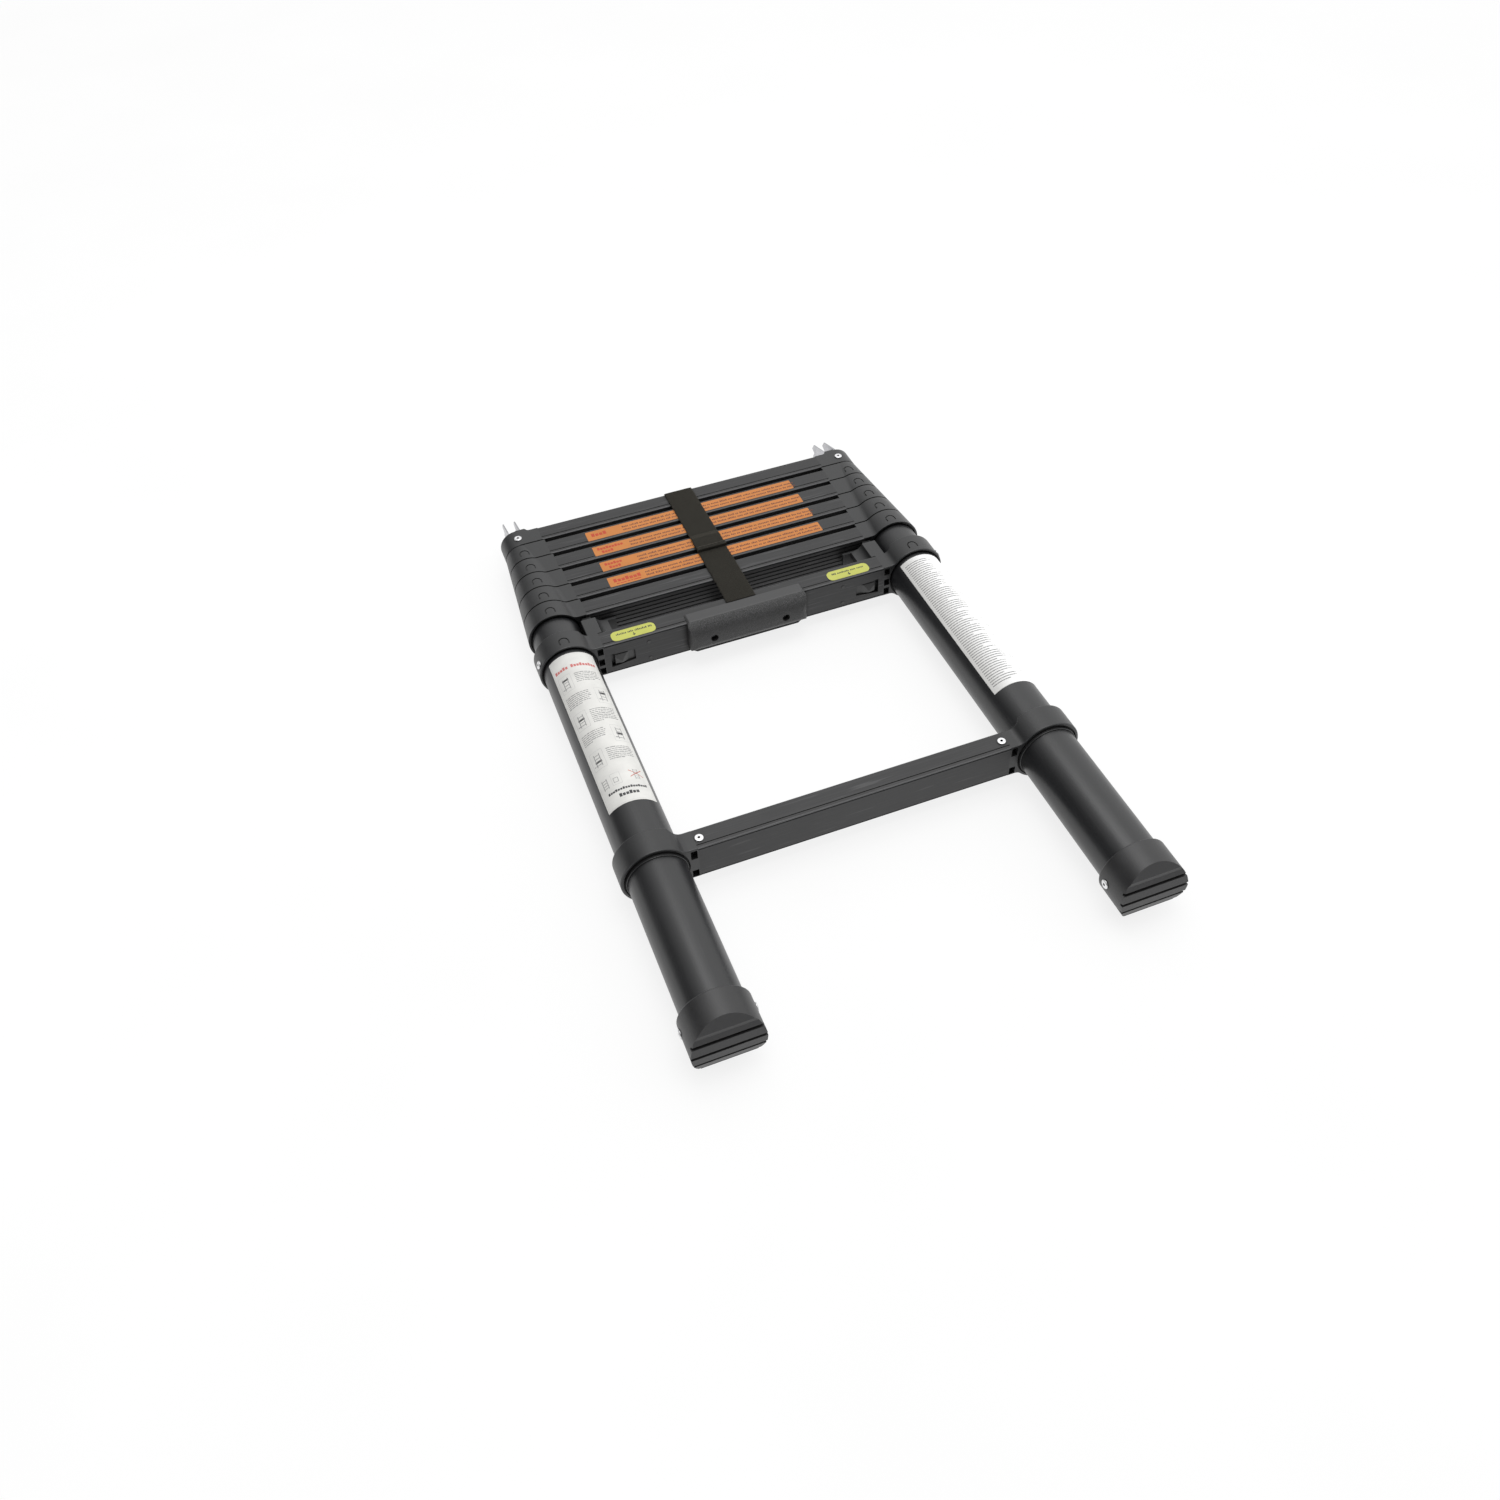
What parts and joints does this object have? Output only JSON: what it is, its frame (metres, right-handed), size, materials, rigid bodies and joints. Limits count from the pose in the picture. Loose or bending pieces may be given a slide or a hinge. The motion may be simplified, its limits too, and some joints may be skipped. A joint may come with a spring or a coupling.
{
  "type": "extension ladder",
  "caption": "Telescopic extension ladder, closed: base tubes with ribbed feet, sliding tube sections with collars and box rungs, latch slides, carry handle, hook strap and top hooks.",
  "frame": {"origin": "on the ground under the middle of the closed ladder as it lies flat", "axes": "+X along the rungs to the right-hand stile, +Y up the ladder from the feet to the top hooks, +Z out of the face that lies upwards"},
  "size_m": [0.4808, 0.779, 0.0712],
  "materials": {
    "tube_black": "black anodised, satin",
    "rung_black": "black powder coat, fine brushed lines",
    "collar_plastic": "fine-grained moulded nylon",
    "slide_plastic": "moulded, with a wedge for the thumb",
    "handle_plastic": "leather-grained grip",
    "foot_rubber": "moulded rubber, ribbed tread",
    "rivet_aluminium": "bright blind rivet",
    "rivet_black": "black rivet",
    "pin_steel": "zinc plated",
    "hook_steel": "bright zinc sheet",
    "strap_webbing": "woven hook-and-loop webbing",
    "label_orange": "printed vinyl label",
    "label_yellow": "printed vinyl label",
    "label_white": "printed vinyl label"
  },
  "bodies": {
    "base": {"foot_left": "foot_rubber", "foot_right": "foot_rubber", "base_tube_left": "tube_black", "base_tube_right": "tube_black", "base_rivets": "rivet_aluminium", "rung_1": "rung_black", "collar_1_left": "collar_plastic", "collar_1_right": "collar_plastic", "rung_2": "rung_black", "collar_2_left": "collar_plastic", "collar_2_right": "collar_plastic", "latch_block_left": "collar_plastic", "latch_block_right": "collar_plastic", "latch_rivets": "rivet_black", "handle": "handle_plastic", "handle_screws": "pin_steel", "strap_lower": "strap_webbing"},
    "release_left": {"release_slide_left": "slide_plastic", "lock_pin_2_left": "pin_steel"},
    "release_right": {"release_slide_right": "slide_plastic", "lock_pin_2_right": "pin_steel"},
    "section_3": {"tubes_3": "tube_black", "rung_3": "rung_black", "collar_3_left": "collar_plastic", "collar_3_right": "collar_plastic"},
    "pin_3_left": {"lock_pin_3_left": "pin_steel"},
    "pin_3_right": {"lock_pin_3_right": "pin_steel"},
    "section_4": {"tubes_4": "tube_black", "rung_4": "rung_black", "collar_4_left": "collar_plastic", "collar_4_right": "collar_plastic"},
    "pin_4_left": {"lock_pin_4_left": "pin_steel"},
    "pin_4_right": {"lock_pin_4_right": "pin_steel"},
    "section_5": {"tubes_5": "tube_black", "rung_5": "rung_black", "collar_5_left": "collar_plastic", "collar_5_right": "collar_plastic"},
    "pin_5_left": {"lock_pin_5_left": "pin_steel"},
    "pin_5_right": {"lock_pin_5_right": "pin_steel"},
    "section_6": {"tubes_6": "tube_black", "rung_6": "rung_black", "collar_6_left": "collar_plastic", "collar_6_right": "collar_plastic"},
    "pin_6_left": {"lock_pin_6_left": "pin_steel"},
    "pin_6_right": {"lock_pin_6_right": "pin_steel"},
    "section_7": {"tubes_7": "tube_black", "rung_7": "rung_black", "collar_7_left": "collar_plastic", "collar_7_right": "collar_plastic"},
    "pin_7_left": {"lock_pin_7_left": "pin_steel"},
    "pin_7_right": {"lock_pin_7_right": "pin_steel"},
    "section_8": {"tubes_8": "tube_black", "rung_8": "rung_black", "top_cap_left": "collar_plastic", "top_cap_right": "collar_plastic", "hook_left": "hook_steel", "hook_right": "hook_steel", "top_rivets": "rivet_aluminium", "strap_upper": "strap_webbing"}
  },
  "joints": [
    {"name": "extend_3", "type": "slide", "parent": "base", "child": "section_3", "axis": [0, 1, 0], "range_m": [0, 0.242]},
    {"name": "extend_4", "type": "slide", "parent": "section_3", "child": "section_4", "axis": [0, 1, 0], "range_m": [0, 0.27]},
    {"name": "extend_5", "type": "slide", "parent": "section_4", "child": "section_5", "axis": [0, 1, 0], "range_m": [0, 0.27]},
    {"name": "extend_6", "type": "slide", "parent": "section_5", "child": "section_6", "axis": [0, 1, 0], "range_m": [0, 0.27]},
    {"name": "extend_7", "type": "slide", "parent": "section_6", "child": "section_7", "axis": [0, 1, 0], "range_m": [0, 0.27]},
    {"name": "extend_8", "type": "slide", "parent": "section_7", "child": "section_8", "axis": [0, 1, 0], "range_m": [0, 0.27]},
    {"name": "release_left", "type": "slide", "parent": "base", "child": "release_left", "axis": [1, 0, 0], "range_m": [0, 0.006], "stiffness_N_per_m": 400, "springref_m": -0.004},
    {"name": "release_right", "type": "slide", "parent": "base", "child": "release_right", "axis": [-1, 0, 0], "range_m": [0, 0.006], "stiffness_N_per_m": 400, "springref_m": -0.004},
    {"name": "lock_3_left", "type": "slide", "parent": "section_3", "child": "pin_3_left", "axis": [1, 0, 0], "range_m": [0, 0.006], "stiffness_N_per_m": 400, "springref_m": -0.004},
    {"name": "lock_3_right", "type": "slide", "parent": "section_3", "child": "pin_3_right", "axis": [-1, 0, 0], "range_m": [0, 0.006], "stiffness_N_per_m": 400, "springref_m": -0.004},
    {"name": "lock_4_left", "type": "slide", "parent": "section_4", "child": "pin_4_left", "axis": [1, 0, 0], "range_m": [0, 0.006], "stiffness_N_per_m": 400, "springref_m": -0.004},
    {"name": "lock_4_right", "type": "slide", "parent": "section_4", "child": "pin_4_right", "axis": [-1, 0, 0], "range_m": [0, 0.006], "stiffness_N_per_m": 400, "springref_m": -0.004},
    {"name": "lock_5_left", "type": "slide", "parent": "section_5", "child": "pin_5_left", "axis": [1, 0, 0], "range_m": [0, 0.006], "stiffness_N_per_m": 400, "springref_m": -0.004},
    {"name": "lock_5_right", "type": "slide", "parent": "section_5", "child": "pin_5_right", "axis": [-1, 0, 0], "range_m": [0, 0.006], "stiffness_N_per_m": 400, "springref_m": -0.004},
    {"name": "lock_6_left", "type": "slide", "parent": "section_6", "child": "pin_6_left", "axis": [1, 0, 0], "range_m": [0, 0.006], "stiffness_N_per_m": 400, "springref_m": -0.004},
    {"name": "lock_6_right", "type": "slide", "parent": "section_6", "child": "pin_6_right", "axis": [-1, 0, 0], "range_m": [0, 0.006], "stiffness_N_per_m": 400, "springref_m": -0.004},
    {"name": "lock_7_left", "type": "slide", "parent": "section_7", "child": "pin_7_left", "axis": [1, 0, 0], "range_m": [0, 0.006], "stiffness_N_per_m": 400, "springref_m": -0.004},
    {"name": "lock_7_right", "type": "slide", "parent": "section_7", "child": "pin_7_right", "axis": [-1, 0, 0], "range_m": [0, 0.006], "stiffness_N_per_m": 400, "springref_m": -0.004}
  ]
}
